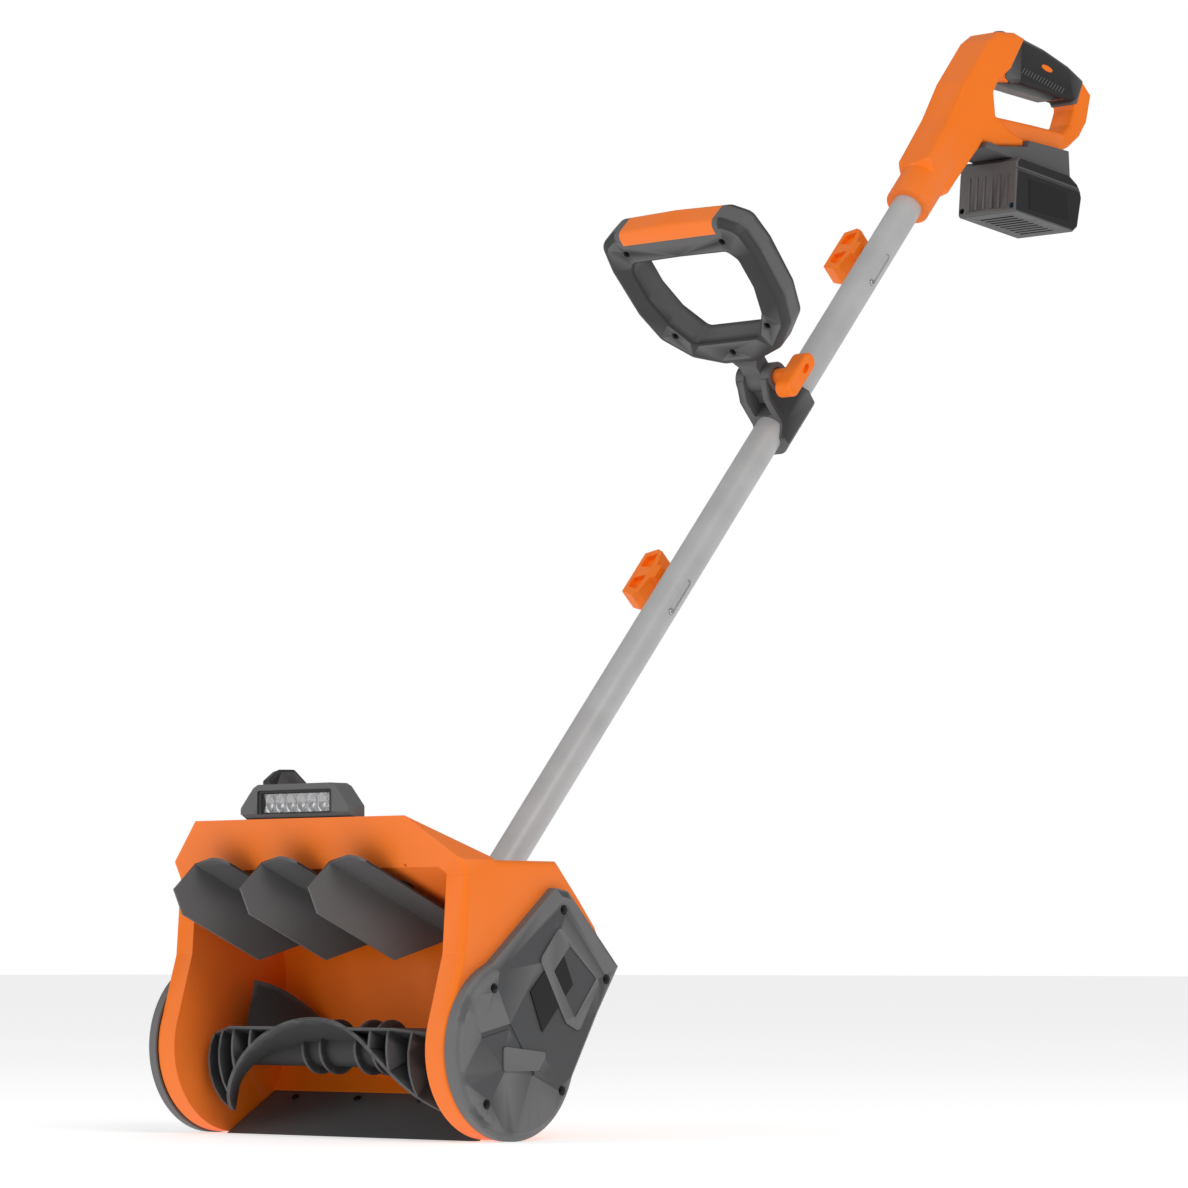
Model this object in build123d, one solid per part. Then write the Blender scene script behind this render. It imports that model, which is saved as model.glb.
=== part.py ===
from build123d import *
import math
import os

# Cordless single stage snowblower, in millimetres.
# +X is the operator's right, +Y points from the mouth back to the operator, +Z is up.
# The layout is drawn from the auger, then moved so that the origin is the middle
# of the scraper's wear edge.

# Head
HEAD_HALF = 182.0
INNER_HALF = 158.0
WALL = 3.0
AUGER_Y = -12.0
AUGER_Z = 81.0
HEAD_CENTRE = (-8.0, 81.0)
HEAD_R = 80.0
TROUGH_R = 68.0
BACK_WALL_Y = 56.0
LIP_Y = -88.0
LIP_TOP = 287.0
LIP_BAND = 16.0
DECK_Z = 248.0
DECK_START_Y = -20.5
ROOF_PITCH = 30.0
SPLIT_Y = 60.0

# Side covers
COVER_R = 81.0
COVER_DEPTH = 15.0
COVER_BEVEL = 6.5
COVER_WALL = 2.5

# Scraper
SCRAPER_HALF = 156.0
SCRAPER_T = 3.5
EDGE_Y = -18.6

# Auger
ROTOR_HALF = 144.0
ROTOR_R = 61.5
CORE_R = 18.0
BLADE_T = 3.5
COLLAR_R = 25.0
FLIGHT_START = 25.0
FLIGHT_FALL = 45.0
PADDLE_LAG = -8.5
PADDLE_FULL = 104.0
SHAFT_R = 7.0
FIT = 0.03

# Deflector vanes
VANE_PITCH = 86.0
VANE_PIVOT = (-43.0, 219.5)
VANE_YAW = 18.0
VANE_LENGTH = 134.0
VANE_WIDTH = 44.0
VANE_T = 2.5
ROOF_GAP = 8.5
CRANK = 22.0
DECK_GAP = 36.0

# Drive
MOTOR_Y = 84.0
MOTOR_Z = 140.0
MOTOR_R = 22.0
PULLEY_X = 166.0
PULLEY_W = 13.0
DRIVEN_R = 35.0
MOTOR_PULLEY_R = 11.0
BELT_T = 2.5
BELT_GAP = 0.3

# Shaft
SHAFT_START_Y = -35.15
SHAFT_ANGLE = 48.136
TUBE_R = 16.0
TUBE_BORE = 14.5
SPIGOT_R = 14.45
SPIGOT_BORE = 12.5
LOWER_START = 205.0
LOWER_RIM = 728.0
UPPER_RIM = 1212.5
HANDLE_START = 1280.0
SPIGOT_LENGTH = 75.0
SLOT_LOW = 56.0
SLOT_HIGH = 16.0
SLOT_W = 7.0
BUTTON_HOLE_R = 3.3
KNOB_BELOW_RIM = 7.0
KNOB_HALF_WIDTH = 12.0

# Auxiliary handle
PIVOT_S = 963.0
PIVOT_N = 44.7
LOOP_TILT = (0.0, -0.69527, 0.71875)
LOOP_HALF_DEPTH = 17.0

# Battery
BATTERY_FRONT = (958.0, 961.0)
BATTERY_TILT = 5.3
BATTERY_W = 76.5

SHAFT_DIR = Vector(0, math.cos(math.radians(SHAFT_ANGLE)), math.sin(math.radians(SHAFT_ANGLE)))
SHAFT_NORMAL = Vector(0, -SHAFT_DIR.Z, SHAFT_DIR.Y)
ROOF_NORMAL = Vector(0, math.sin(math.radians(ROOF_PITCH)), math.cos(math.radians(ROOF_PITCH)))
ROW_SHIFT = Pos(0, -EDGE_Y, 0)
BASE = (Align.CENTER, Align.CENTER, Align.MIN)


# Helpers ---------------------------------------------------------------------

def outline(*points):
    """A closed flat face through corner points, always facing its plane's normal."""
    around = zip(points, points[1:] + points[:1])
    turning = sum(a[0] * b[1] - b[0] * a[1] for a, b in around)
    return Polygon(*(points if turning > 0 else points[::-1]), align=None)


def rounded(points, radius):
    """A closed outline with every corner rounded alike."""
    return fillet(outline(*points).vertices(), radius)


def yz_prism(face, x_low, x_high):
    """A (Y, Z) outline made solid between two X planes."""
    plane = Plane(origin=(x_low, 0, 0), x_dir=(0, 1, 0), z_dir=(1, 0, 0))
    return extrude(plane * face, amount=x_high - x_low)


def xz_prism(face, y_low, y_high):
    """An (X, Z) outline made solid between two Y planes."""
    plane = Plane(origin=(0, y_high, 0), x_dir=(1, 0, 0), z_dir=(0, -1, 0))
    return extrude(plane * face, amount=y_high - y_low)


def box_between(low, high):
    size = [b - a for a, b in zip(low, high)]
    centre = [(a + b) / 2 for a, b in zip(low, high)]
    return Pos(*centre) * Box(*size)


def x_rod(y, z, radius, x_low, x_high):
    """A cylinder along X."""
    plane = Plane(origin=(x_low, y, z), x_dir=(0, 1, 0), z_dir=(1, 0, 0))
    return plane * Cylinder(radius, x_high - x_low, align=BASE)


def mirrored(solid):
    return mirror(solid, about=Plane.YZ)


def shaft_point(s, n=0.0):
    """The point s along the shaft's axis and n in front of it."""
    return Vector(0, SHAFT_START_Y, 0) + SHAFT_DIR * s + SHAFT_NORMAL * n


def shaft_plane(s, n=0.0):
    """Local Z up the shaft, local X to the right, local -Y to the front."""
    return Plane(origin=shaft_point(s, n), x_dir=(1, 0, 0), z_dir=SHAFT_DIR)


def shaft_rod(radius, s_low, s_high):
    return shaft_plane(s_low) * Cylinder(radius, s_high - s_low, align=BASE)


def shaft_side(s, x, n=0.0):
    """Looking along +X at the shaft: local X runs up the shaft, local Y to its front."""
    return Plane(origin=shaft_point(s, n) + Vector(x, 0, 0), x_dir=SHAFT_DIR, z_dir=(1, 0, 0))


def roof_plane(x, yaw=0.0):
    """The vane flange plane at one pivot: local Z out of the roof, local Y to the rear."""
    plane = Plane(origin=(x, *VANE_PIVOT), x_dir=(1, 0, 0), z_dir=ROOF_NORMAL)
    return plane * Rot(0, 0, -yaw)


def screw(radius, length, head_r, head_h):
    """A pan head screw pointing down local -Z, its head on the plane."""
    head = Cylinder(head_r, head_h, align=BASE)
    head = fillet(head.edges().sort_by(Axis.Z)[-1], head_h * 0.45)
    socket = Pos(0, 0, head_h * 0.5) * Box(head_r * 1.1, head_r * 0.28, head_h, align=BASE)
    cross = Rot(0, 0, 90) * socket
    shank = Pos(0, 0, -length) * Cylinder(radius, length + 0.1, align=BASE)
    return head + shank - socket - cross


# Head housing ----------------------------------------------------------------

def head_profile(inset=0.0):
    drum = Pos(*HEAD_CENTRE) * Circle(HEAD_R)
    panel = outline(
        (LIP_Y, LIP_TOP), (DECK_START_Y, DECK_Z), (59, DECK_Z), (91, 214), (112, 190), (129, 160),
        (127, 141), (108, 112), (60, 33), (38, 12), (10, 3.1), (-8, 81), (-85.7, 100), (-66, 165),
        (-61, 235))
    shape = drum + panel
    return offset(shape, -inset, kind=Kind.INTERSECTION) if inset else shape


def chute_profile(margin=0.0):
    """The open space swept by the auger and the snow, from the scraper up to the lip."""
    trough = Pos(AUGER_Y, AUGER_Z) * Circle(TROUGH_R)
    throat = outline(
        (AUGER_Y, AUGER_Z), (BACK_WALL_Y, AUGER_Z), (BACK_WALL_Y, 172.1), (-70, 244.9),
        (LIP_Y, LIP_TOP - LIP_BAND), (-140, LIP_TOP - LIP_BAND), (-140, -75.2), (43, 35.1),
        (41.2, 38.1))
    shape = trough + throat
    corner = shape.vertices().sort_by_distance((BACK_WALL_Y, 172.1, 0))[0]
    shape = fillet(corner, 38)
    return offset(shape, margin, kind=Kind.INTERSECTION) if margin else shape


def corner_wedge(x_low, z_low, x_high, z_high):
    """What a sloping top corner takes off, on both sides."""
    rise = (z_low - z_high) / (x_high - x_low)
    face = outline((x_low - 40, z_low + 40 * rise), (x_high + 40, z_high - 40 * rise),
                   (x_high + 40, z_low + 60), (x_low - 40, z_low + 60))
    wedge = xz_prism(face, -220, 200)
    return wedge + mirrored(wedge)


def head_block():
    block = yz_prism(head_profile(), -HEAD_HALF, HEAD_HALF)
    block = fillet(block.faces().filter_by(Axis.X).edges(), 5)
    return block - corner_wedge(132, LIP_TOP, HEAD_HALF, DECK_Z)


def chute_space(margin=0.0):
    half = INNER_HALF + margin
    wedge = corner_wedge(118 + margin, LIP_TOP - LIP_BAND + margin, INNER_HALF + margin, 236 + margin)
    return yz_prism(chute_profile(margin), -half, half) - wedge


def head_hollow(inset):
    half = HEAD_HALF - inset
    wedge = corner_wedge(132 - inset / 2, LIP_TOP - inset, half, DECK_Z - inset)
    return yz_prism(head_profile(inset), -half, half) - wedge


def bearing_seats():
    seats = x_rod(AUGER_Y, AUGER_Z, 19, INNER_HALF, 171)
    return seats + mirrored(seats)


def bearing_bores():
    bore = x_rod(AUGER_Y, AUGER_Z, 15, INNER_HALF - 1, 172)
    return bore + mirrored(bore)


DECK_LOW = (-120, -58, 190)
DECK_HIGH = (120, 44, 300)


def head_shells():
    """The front housing, the rear cover and the deck cover, cut from one hollow block."""
    block = head_block()
    chute_wall = chute_space(WALL)
    hollow = head_hollow(WALL) - chute_wall
    shell = block - chute_space() - hollow
    opening = yz_prism(cover_profile(9), 170, 184)
    for y, z in cover_screw_places():
        opening -= x_rod(y, z, 10, 170, 184)
    shell = shell - opening - mirrored(opening)
    shell = shell + bearing_seats() - bearing_bores() - cover_screw_pilots()
    for x in scraper_screw_places():
        shell -= scraper_hole(x) * Cylinder(2.1, 30)
    for x in vane_places():
        shell -= roof_plane(x) * Pos(0, 0, ROOF_GAP - 1) * Cylinder(5.05, 8, align=BASE)
    shell -= roof_plane(-VANE_PITCH) * Pos(0, 0, 20) * Cylinder(6.5, 30, align=BASE)
    deck = box_between(DECK_LOW, DECK_HIGH) - chute_wall
    deck_cover = shell & deck
    around = box_between([v - 6 for v in DECK_LOW], [v + 6 for v in DECK_HIGH])
    ledge = ((head_hollow(WALL) - head_hollow(WALL + 2.5)) & around) - chute_wall
    window = box_between([v + 7 for v in DECK_LOW], [v - 7 for v in DECK_HIGH[:2]] + [320])
    shell = shell - deck + (ledge - window)
    deck_cover += roof_plane(-VANE_PITCH) * Pos(0, 0, DECK_GAP - 4) * Cylinder(16, 9.8, align=BASE)
    deck_cover -= roof_plane(-VANE_PITCH) * Pos(0, 0, 20) * Cylinder(6.5, 30, align=BASE)
    for place in deck_screw_places():
        hole = place * Cylinder(1.5, 60)
        shell -= hole
        deck_cover -= hole
    back = box_between((-200, SPLIT_Y, -20), (200, 200, 320))
    front = shell - back
    rear = shell & back
    return front, rear, deck_cover


def deck_screw_places():
    """Four places on the deck, local Z out of its surface."""
    sloping = [Pos(x, -52, 266.3) * Rot(-ROOF_PITCH, 0, 0) for x in (-112, 112)]
    return sloping + [Pos(x, 38, DECK_Z) for x in (-112, 112)]


def cover_screw_pilots():
    pilots = Part()
    for y, z in cover_screw_places():
        pilots += x_rod(y, z, 2.0, 170, 190)
    return pilots + mirrored(pilots)


def tube_socket(shell):
    """The rear cover's collar that takes the lower tube, with two cross bolt holes."""
    collar = shaft_rod(23, 196, 258) - yz_prism(head_profile(), -40, 40)
    root = shaft_rod(21, 196, 232) & yz_prism(head_profile(1), -40, 40)
    back_only = box_between((-60, SPLIT_Y + 0.5, 100), (60, 220, 320))
    shell = shell + ((collar + root) & back_only)
    shell -= shaft_rod(TUBE_R, LOWER_START, 300)
    shell -= shaft_rod(9, 180, LOWER_START + 1)
    for s in (224, 246):
        point = shaft_point(s)
        shell -= x_rod(point.Y, point.Z, 2.6, -40, 40)
    return shell


# Side covers -----------------------------------------------------------------

def cover_profile(inset=0.0):
    drum = Pos(*HEAD_CENTRE) * Circle(COVER_R)
    panel = outline((-8, 81), (-71, 129), (47, 224), (64, 221), (132, 154), (104, 113), (57, 36))
    shape = drum + panel
    return offset(shape, -inset, kind=Kind.INTERSECTION) if inset else shape


def cover_block(inset, depth):
    """A dished cover: a rim, then a wide bevel up to a flat face."""
    rim = HEAD_HALF + depth - COVER_BEVEL
    block = yz_prism(cover_profile(inset), HEAD_HALF, rim)
    plane = Plane(origin=(rim, 0, 0), x_dir=(0, 1, 0), z_dir=(1, 0, 0))
    return block + extrude(plane * cover_profile(inset), amount=COVER_BEVEL, taper=50)


def cover_screw_places():
    return [(51, 204.5), (-41, 135), (-50.5, 34), (48.5, 44), (108.5, 142.5)]


def cover_relief(x):
    """Raised ribs and a sunk panel on the outer face."""
    blade = rounded([(18, 160), (44, 190), (98, 140), (70, 96), (52, 104)], 5)
    plate = rounded([(36, 150), (57, 172), (93, 143), (64, 108)], 2)
    tab = rounded([(-30, 62), (16, 62), (28, 78), (-30, 84)], 3)
    groove = rounded([(-58, 96), (-20, 104), (12, 60), (9, 57), (-22, 99), (-58, 91)], 1)
    raised = yz_prism(blade, x, x + 1.6) - yz_prism(plate, x + 0.9, x + 2)
    raised += yz_prism(tab, x, x + 1.2)
    return raised, yz_prism(groove, x - 0.9, x + 1)


def right_cover():
    cover = cover_block(0, COVER_DEPTH) - cover_block(COVER_WALL, COVER_DEPTH - COVER_WALL)
    raised, sunk = cover_relief(HEAD_HALF + COVER_DEPTH)
    cover = cover + (raised & yz_prism(cover_profile(COVER_BEVEL + 4), 150, 220)) - sunk
    for y, z in cover_screw_places():
        pillar = x_rod(y, z, 6, HEAD_HALF, HEAD_HALF + COVER_DEPTH) & cover_block(0, COVER_DEPTH)
        cover = cover + pillar - x_rod(y, z, 4.6, HEAD_HALF + 5, HEAD_HALF + 30)
        cover -= x_rod(y, z, 2.1, HEAD_HALF - 2, HEAD_HALF + 30)
    return cover


def cover_screws():
    plane_x = HEAD_HALF + 5
    screws = []
    for y, z in cover_screw_places():
        plane = Plane(origin=(plane_x, y, z), x_dir=(0, 1, 0), z_dir=(1, 0, 0))
        item = plane * screw(2.0, 9, 4.2, 2.6)
        screws += [item, mirrored(item)]
    return screws


# Scraper ---------------------------------------------------------------------

def scraper_face():
    """Across the plate: its top face runs tangent under the auger down to the ground."""
    return outline((41.2, 38.1), (43, 35.1), (-15.3, 0), (-21.9, 0))


def scraper():
    plate = yz_prism(scraper_face(), -SCRAPER_HALF, SCRAPER_HALF)
    for x in scraper_screw_places():
        plate -= scraper_hole(x) * Cylinder(2.2, 20)
    return plate


def scraper_screw_places():
    return [-120, -40, 40, 120]


def scraper_hole(x):
    """The plate's upper face at one screw, local Z out of the plate."""
    return Plane(origin=(x, 32, 32.55), x_dir=(1, 0, 0), z_dir=(0, -0.516, 0.857))


def scraper_screws():
    return [scraper_hole(x) * screw(2.1, 6, 3.6, 1.6) for x in scraper_screw_places()]


# Auger -----------------------------------------------------------------------

def radial_plane(x, angle):
    """At one place on the auger's axis: local X radial at the angle, local Z along +X."""
    turn = math.radians(angle)
    out = (0, -math.cos(turn), math.sin(turn))
    return Plane(origin=(x, AUGER_Y, AUGER_Z), x_dir=out, z_dir=(1, 0, 0))


def flight_angle(x, start):
    """A flight leads in the middle and falls back smoothly towards both ends."""
    return start - FLIGHT_FALL * (abs(x) / 98) ** 2.15


def flight(start):
    """One blade wound over the whole rotor, as the skin between its root and its rim."""
    def edge(radius):
        points = []
        for k in range(-10, 11):
            x = ROTOR_HALF * k / 10
            turn = math.radians(flight_angle(x, start))
            points.append((x, AUGER_Y - radius * math.cos(turn), AUGER_Z + radius * math.sin(turn)))
        return Spline(*points)
    skin = Face.make_surface_from_curves(edge(CORE_R - 2), edge(ROTOR_R))
    return thicken(skin, amount=BLADE_T / 2, both=True)


def lattice(start):
    """The flat paddle and the fan ribs that stiffen a flight near one end."""
    lead = start + PADDLE_LAG
    turn = math.radians(lead)
    plane = Plane(origin=(0, AUGER_Y, AUGER_Z), x_dir=(1, 0, 0), z_dir=(0, math.sin(turn), math.cos(turn)))
    root = 1 - CORE_R
    face = outline((46, root), (ROTOR_HALF, root), (ROTOR_HALF, -paddle_reach(ROTOR_HALF)),
                   (PADDLE_FULL, -ROTOR_R), (46, -ROTOR_R))
    web = extrude(plane * face, amount=1.4, both=True)
    for x in (74, 96, 118, ROTOR_HALF - 2.5):
        web += extrude(radial_plane(x, lead) * fan(x, lead - flight_angle(x, start)), amount=2.5)
    return web


def paddle_reach(x):
    """The paddle's outer edge, which falls back towards the core near the end."""
    return ROTOR_R - max(0, x - PADDLE_FULL) * 0.54


def fan(x, reach):
    """A rib's face in a radial plane, growing from the paddle's edge to the flight's rim."""
    near = paddle_reach(x)
    steps = [radial_point(near + (ROTOR_R - near) * k / 6, reach * k / 6) for k in range(7)]
    return outline((0, 0), *steps)


def radial_point(radius, angle):
    turn = math.radians(angle)
    return radius * math.cos(turn), radius * math.sin(turn)


def auger_rotor():
    rotor = x_rod(AUGER_Y, AUGER_Z, CORE_R, -ROTOR_HALF, ROTOR_HALF)
    for x in (-45, -23, 21, 43):
        rotor += x_rod(AUGER_Y, AUGER_Z, COLLAR_R, x, x + 3)
    for start in (FLIGHT_START, FLIGHT_START + 180):
        ribs = lattice(start)
        rotor = rotor + flight(start) + ribs + mirrored(ribs)
    rotor &= x_rod(AUGER_Y, AUGER_Z, ROTOR_R, -ROTOR_HALF, ROTOR_HALF)
    return rotor - x_rod(AUGER_Y, AUGER_Z, SHAFT_R, -ROTOR_HALF - 1, ROTOR_HALF + 1)


def auger_shaft():
    return x_rod(AUGER_Y, AUGER_Z, SHAFT_R, -171, 181)


def bearing():
    ring = x_rod(AUGER_Y, AUGER_Z, 15, INNER_HALF + 1, INNER_HALF + 10)
    return ring - x_rod(AUGER_Y, AUGER_Z, SHAFT_R + FIT, INNER_HALF, INNER_HALF + 11)


def pulley(y, z, radius, bore):
    wheel = x_rod(y, z, radius, PULLEY_X + 5, PULLEY_X + 5 + PULLEY_W)
    for k in range(4):
        x = PULLEY_X + 6.8 + 3 * k
        wheel -= x_rod(y, z, radius + 1, x, x + 1.2) - x_rod(y, z, radius - 1.4, x - 1, x + 3)
    return wheel - x_rod(y, z, bore, 150, 200)


def driven_pulley():
    wheel = pulley(AUGER_Y, AUGER_Z, DRIVEN_R, SHAFT_R)
    for k in range(6):
        turn = math.radians(60 * k)
        y = AUGER_Y + 21 * math.cos(turn)
        z = AUGER_Z + 21 * math.sin(turn)
        wheel -= x_rod(y, z, 6.5, 150, 200)
    return wheel


def motor_pulley():
    return pulley(MOTOR_Y, MOTOR_Z, MOTOR_PULLEY_R, 4.0)


def drive_belt():
    """A flat loop round both pulleys, a hair clear of each."""
    def loop(extra):
        big = Pos(AUGER_Y, AUGER_Z) * Circle(DRIVEN_R + extra)
        small = Pos(MOTOR_Y, MOTOR_Z) * Circle(MOTOR_PULLEY_R + extra)
        return make_hull((big.edges() + small.edges()))
    band = loop(BELT_GAP + BELT_T) - loop(BELT_GAP)
    return yz_prism(band, PULLEY_X + 6, PULLEY_X + 4 + PULLEY_W)


def motor_can():
    can = x_rod(MOTOR_Y, MOTOR_Z, MOTOR_R, 92, 154)
    can = fillet(can.edges().sort_by(Axis.X)[0], 3)
    for k in range(8):
        turn = math.radians(45 * k)
        y = MOTOR_Y + 14 * math.cos(turn)
        z = MOTOR_Z + 14 * math.sin(turn)
        can -= x_rod(y, z, 2.2, 90, 97)
    return can - x_rod(MOTOR_Y, MOTOR_Z, 4.0 + FIT, 88, 160)


def motor_shaft():
    return x_rod(MOTOR_Y, MOTOR_Z, 4.0, 88.5, PULLEY_X + 6 + PULLEY_W)


def motor_mount():
    plate = yz_prism(rounded([(61, 112), (82, 106), (108, 142), (106, 164), (61, 168)], 5), 154, 158)
    return plate - x_rod(MOTOR_Y, MOTOR_Z, 8, 150, 160)


def controller_board():
    board = box_between((-70, 63, 196), (10, 65, 236))
    for x, width in ((-58, 12), (-38, 16), (-16, 10)):
        board += box_between((x, 65, 204), (x + width, 75, 226))
    return board


# Lamp ------------------------------------------------------------------------

LAMP_FRONT = -93.0
LAMP_DEPTH = 21.0
LENS_HALF = 43.0
LENS_LOW = 291.5
LENS_HIGH = 310.5


def lamp_outline(grow=0.0):
    half = [(68 + grow, 250), (68 + grow, 297), (52 + grow / 2, 315 + grow), (46, 318 + grow)]
    left = [(-x, z) for x, z in reversed(half)]
    return outline(*half, *left)


def lamp_housing():
    body = xz_prism(lamp_outline(), LAMP_FRONT, LAMP_FRONT + LAMP_DEPTH)
    seat = yz_prism(outline((-200, 355 - 1.4), (0, 238.1), (0, 180), (-200, 180)), -90, 90)
    front_low = box_between((-90, -110, 200), (90, LIP_Y - 0.2, 287))
    body = body - seat - front_low
    edges = body.edges().filter_by(Axis.Y).sort_by(Axis.Z)[-6:]
    body = fillet(edges, 3)
    bezel = xz_prism(rounded([(-LENS_HALF - 4, LENS_LOW - 2), (LENS_HALF + 4, LENS_LOW - 2),
                              (LENS_HALF + 4, LENS_HIGH + 2), (-LENS_HALF - 4, LENS_HIGH + 2)], 3),
                     LAMP_FRONT - 1, LAMP_FRONT + 1.5)
    pocket = box_between((-LENS_HALF, LAMP_FRONT - 1, LENS_LOW), (LENS_HALF, LAMP_FRONT + 14, LENS_HIGH))
    return body - bezel - pocket


def lamp_lens():
    pane = box_between((-LENS_HALF, LAMP_FRONT + 1.5, LENS_LOW), (LENS_HALF, LAMP_FRONT + 4, LENS_HIGH))
    return pane


def lamp_board():
    z_mid = (LENS_LOW + LENS_HIGH) / 2
    board = box_between((-41, LAMP_FRONT + 10, LENS_LOW + 1), (41, LAMP_FRONT + 11.6, LENS_HIGH - 1))
    for k in range(6):
        x = -33 + 13.2 * k
        board += box_between((x - 2.5, LAMP_FRONT + 8.8, z_mid - 2.5), (x + 2.5, LAMP_FRONT + 10, z_mid + 2.5))
    return board


# Deflector vanes -------------------------------------------------------------

def vane_places():
    return [-VANE_PITCH, 0.0, VANE_PITCH]


def vane(x):
    half_w = VANE_WIDTH / 2
    half_l = VANE_LENGTH / 2
    flange = Rectangle(VANE_WIDTH, VANE_LENGTH)
    outer = flange.vertices().sort_by(Axis.X)[-2:]
    flange = extrude(fillet(outer, 15), amount=-VANE_T)
    side = Plane(origin=(-half_w, 0, 0), x_dir=(0, 1, 0), z_dir=(1, 0, 0))
    blade_face = outline((-half_l, 0), (-half_l - 10, -33), (-half_l + 8, -50), (half_l - 39, -50),
                         (half_l - 2, -11), (half_l, 0))
    blade = extrude(side * blade_face, amount=VANE_T)
    hub = Cylinder(9, ROOF_GAP - 0.3, align=BASE) + Cylinder(5.0, ROOF_GAP + 6, align=BASE)
    return roof_plane(x, VANE_YAW) * (flange + blade + hub)


def crank(x):
    """The arm on top of a vane's stub, with the link's pin on its end."""
    low = ROOF_GAP + WALL + 0.5
    arm = Pos(0, CRANK / 2) * SlotCenterToCenter(CRANK, 15, rotation=90)
    body = Pos(0, 0, low) * extrude(arm, amount=4)
    body -= Pos(0, 0, low - 1) * Cylinder(5.0, 3.5, align=BASE)
    body += Pos(0, CRANK, low) * Cylinder(3.0, 8.5, align=BASE)
    if x == -VANE_PITCH:
        body += Pos(0, 0, low + 4) * Cylinder(5.0, DECK_GAP + 13 - low - 4, align=BASE)
    return roof_plane(x, VANE_YAW) * body


def deflector_link():
    """The bar that turns the three vanes as one."""
    turn = math.radians(VANE_YAW)
    shift = Pos(CRANK * math.sin(turn), CRANK * math.cos(turn), ROOF_GAP + WALL + 4.9)
    bar = extrude(SlotCenterToCenter(2 * VANE_PITCH, 14), amount=3)
    bar -= Pos(-VANE_PITCH, 0, -1) * Cylinder(3.0 + 0.05, 6, align=BASE)
    for x in (0, VANE_PITCH):
        bar -= Pos(x, 0, -1) * Cylinder(3.6, 6, align=BASE)
    return roof_plane(0) * shift * bar


def direction_lever():
    """The hand lever on top of the deck: hub, neck and a finned grip."""
    hub = Pos(0, 0, DECK_GAP + 6.1) * Cylinder(15, 9, align=BASE)
    hub = fillet(hub.edges().sort_by(Axis.Z)[-1], 3)
    neck = Pos(0, 0, DECK_GAP + 10) * Cone(11, 7.5, 55, align=BASE)
    grip_side = Plane(origin=(-8, 0, DECK_GAP + 54), x_dir=(0, 1, 0), z_dir=(1, 0, 0))
    grip_face = rounded([(10, -4), (12, 9), (-8, 25), (-24, 30), (-38, 22), (-44, 8), (-36, 0), (-12, -4)], 3.5)
    grip = extrude(grip_side * grip_face, amount=16)
    grip = fillet(grip.faces().filter_by(Axis.X).edges(), 3)
    lever = hub + neck + grip
    lever -= Pos(0, 0, DECK_GAP) * Cylinder(5.0, 13.0, align=BASE)
    lever -= Pos(-1, -10, DECK_GAP + 65) * Rot(0, 90, 0) * Cylinder(1.5, 8, align=BASE)
    lever -= Pos(5, -10, DECK_GAP + 65) * Rot(0, 90, 0) * Cylinder(4, 8, align=BASE)
    return roof_plane(-VANE_PITCH, VANE_YAW) * lever


def lever_screw():
    place = Pos(5, -10, DECK_GAP + 65) * Rot(0, 90, 0)
    return roof_plane(-VANE_PITCH, VANE_YAW) * place * screw(1.5, 6, 3.2, 2)


# Shaft tubes -----------------------------------------------------------------

def slot_cut(rim):
    """The guide slot in a socket end, through the right wall only."""
    length = SLOT_LOW - SLOT_HIGH
    middle = rim - (SLOT_LOW + SLOT_HIGH) / 2
    return extrude(shaft_side(middle, 5) * SlotOverall(length + SLOT_W, SLOT_W), amount=15)


def knob_hole(rim):
    point = shaft_point(rim - KNOB_BELOW_RIM)
    return x_rod(point.Y, point.Z, 3.0 + FIT, -30, -10)


def lower_tube():
    tube = shaft_rod(TUBE_R, LOWER_START, LOWER_RIM) - shaft_rod(TUBE_BORE, LOWER_START - 1, LOWER_RIM + 1)
    tube = tube - slot_cut(LOWER_RIM) - knob_hole(LOWER_RIM)
    for s in (224, 246):
        point = shaft_point(s)
        tube -= x_rod(point.Y, point.Z, 2.6, -40, 40)
    return tube


def spigot(rim):
    tube = shaft_rod(SPIGOT_R, rim - SPIGOT_LENGTH, rim + 1)
    tube += shaft_rod(TUBE_BORE + 0.5, rim, rim + 20)
    point = shaft_point(rim - SLOT_LOW)
    tube -= x_rod(point.Y, point.Z, BUTTON_HOLE_R, 5, 20)
    return tube - shaft_rod(SPIGOT_BORE, rim - SPIGOT_LENGTH - 1, rim + 22)


def middle_tube():
    tube = shaft_rod(TUBE_R, LOWER_RIM, UPPER_RIM) - shaft_rod(TUBE_BORE, LOWER_RIM - 1, UPPER_RIM + 1)
    return tube + spigot(LOWER_RIM) - slot_cut(UPPER_RIM) - knob_hole(UPPER_RIM)


def upper_tube():
    end = HANDLE_START + 60
    tube = shaft_rod(TUBE_R, UPPER_RIM, end) - shaft_rod(TUBE_BORE, UPPER_RIM - 1, end + 1)
    return tube + spigot(UPPER_RIM)


def slot_button(rim):
    """The spigot's guide button, standing in the low end of the slot."""
    point = shaft_point(rim - SLOT_LOW)
    button = x_rod(point.Y, point.Z, BUTTON_HOLE_R, SPIGOT_BORE - 1, TUBE_R + 1.6)
    return fillet(button.edges().sort_by(Axis.X)[-1], 1.5)


def tube_bolts():
    """Two cross bolts and their nuts that hold the lower tube in its socket."""
    parts = []
    for s in (224, 246):
        point = shaft_point(s)
        bolt = x_rod(point.Y, point.Z, 2.5, -27, 24) + x_rod(point.Y, point.Z, 4.6, 23.2, 26.4)
        nut_face = RegularPolygon(4.6, 6)
        plane = Plane(origin=(-23.2, point.Y, point.Z), x_dir=(0, 1, 0), z_dir=(-1, 0, 0))
        parts.append(bolt + extrude(plane * nut_face, amount=4))
    return parts


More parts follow.
